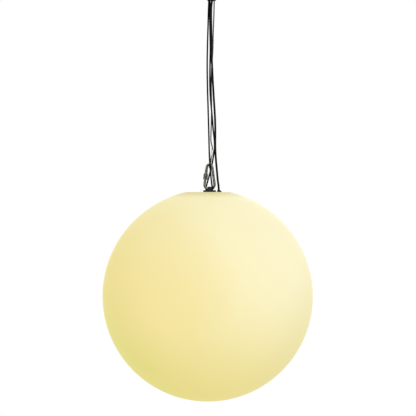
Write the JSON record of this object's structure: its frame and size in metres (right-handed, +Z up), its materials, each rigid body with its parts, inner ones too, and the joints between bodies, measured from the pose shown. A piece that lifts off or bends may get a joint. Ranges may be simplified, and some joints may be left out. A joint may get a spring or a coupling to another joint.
{
  "type": "hanging globe garden light",
  "caption": "Opal globe garden light hung by a wire rope and snap hook, with a hanging cord, a power cable and a ring to hang it from.",
  "frame": {"origin": "centre of the hanging ring that carries the light", "axes": "+Z up along the hanging rope, +X to the viewer's right, +Y away from the viewer"},
  "size_m": [0.3999, 0.4, 0.8788],
  "materials": {
    "opal_globe": "satin opal polyethylene, lit from inside",
    "opal_cover": "satin opal polyethylene",
    "soft_rubber": "soft seal",
    "bright_steel": "bright zinc plated",
    "rope_steel": "stranded galvanised wire",
    "ferrule_metal": "pressed aluminium",
    "brass_insert": "plain brass",
    "black_plastic": "moulded, matt",
    "black_rubber": "moulded rubber",
    "black_cable": "smooth round cable sheath",
    "black_cord": "braided cord",
    "black_strap": "woven strap",
    "white_ceramic": "unglazed",
    "lamp_metal": "rolled metal cap",
    "lamp_opal": "opal diffuser"
  },
  "bodies": {
    "hanger": {"hanging_ring": "bright_steel", "wire_rope": "rope_steel", "upper_ferrule": "ferrule_metal", "lower_ferrule": "ferrule_metal", "upper_thimble": "bright_steel", "lower_thimble": "bright_steel", "hook_body": "bright_steel", "gate_pivot_pin": "bright_steel", "nose_pin": "bright_steel", "hanging_cord": "black_cord", "bundle_tie": "black_strap", "power_cable": "black_cable", "cable_coil": "black_cable", "coil_strap": "black_strap", "cable_tail": "black_cable", "connector_boot": "black_rubber", "connector_body": "black_plastic", "connector_pins": "brass_insert"},
    "globe": {"globe_shell": "opal_globe", "cover_plate": "opal_cover", "cover_gasket": "soft_rubber", "cover_screws": "bright_steel", "boss_inserts": "brass_insert", "hanging_lug": "black_plastic", "lug_washer": "bright_steel", "lug_nut": "bright_steel", "cord_knots": "black_cord", "cable_grommet": "black_rubber", "inner_lead": "black_cable", "holder_bracket": "bright_steel", "lampholder_body": "white_ceramic", "lampholder_shell": "brass_insert", "lampholder_contact": "brass_insert", "lamp_cap": "lamp_metal", "lamp_bulb": "lamp_opal"},
    "gate": {"hook_gate": "bright_steel"},
    "sleeve": {"gate_sleeve": "bright_steel"},
    "coupling_nut": {"connector_nut": "black_plastic"}
  },
  "joints": [
    {"name": "globe_swing", "type": "hinge", "parent": "hanger", "child": "globe", "pos_m": [-0.0085, 0, -0.4608], "axis": [1, 0, 0], "range_deg": [-20, 20], "deforming": ["hanging_cord", "power_cable"]},
    {"name": "gate_open", "type": "hinge", "parent": "hanger", "child": "gate", "pos_m": [-0.01405, 0, -0.42128], "axis": [0, -1, 0], "range_deg": [0, 20], "stiffness_Nm_per_rad": 0.02, "springref_deg": -17.19},
    {"name": "sleeve_lock", "type": "slide", "parent": "gate", "child": "sleeve", "axis": [0.1331, 0, 0.9911], "range_m": [-0.0065, 0]},
    {"name": "nut_turn", "type": "hinge", "parent": "hanger", "child": "coupling_nut", "pos_m": [0.0732, 0.00615, -0.0921], "axis": [0, 0, 1], "continuous": true}
  ]
}
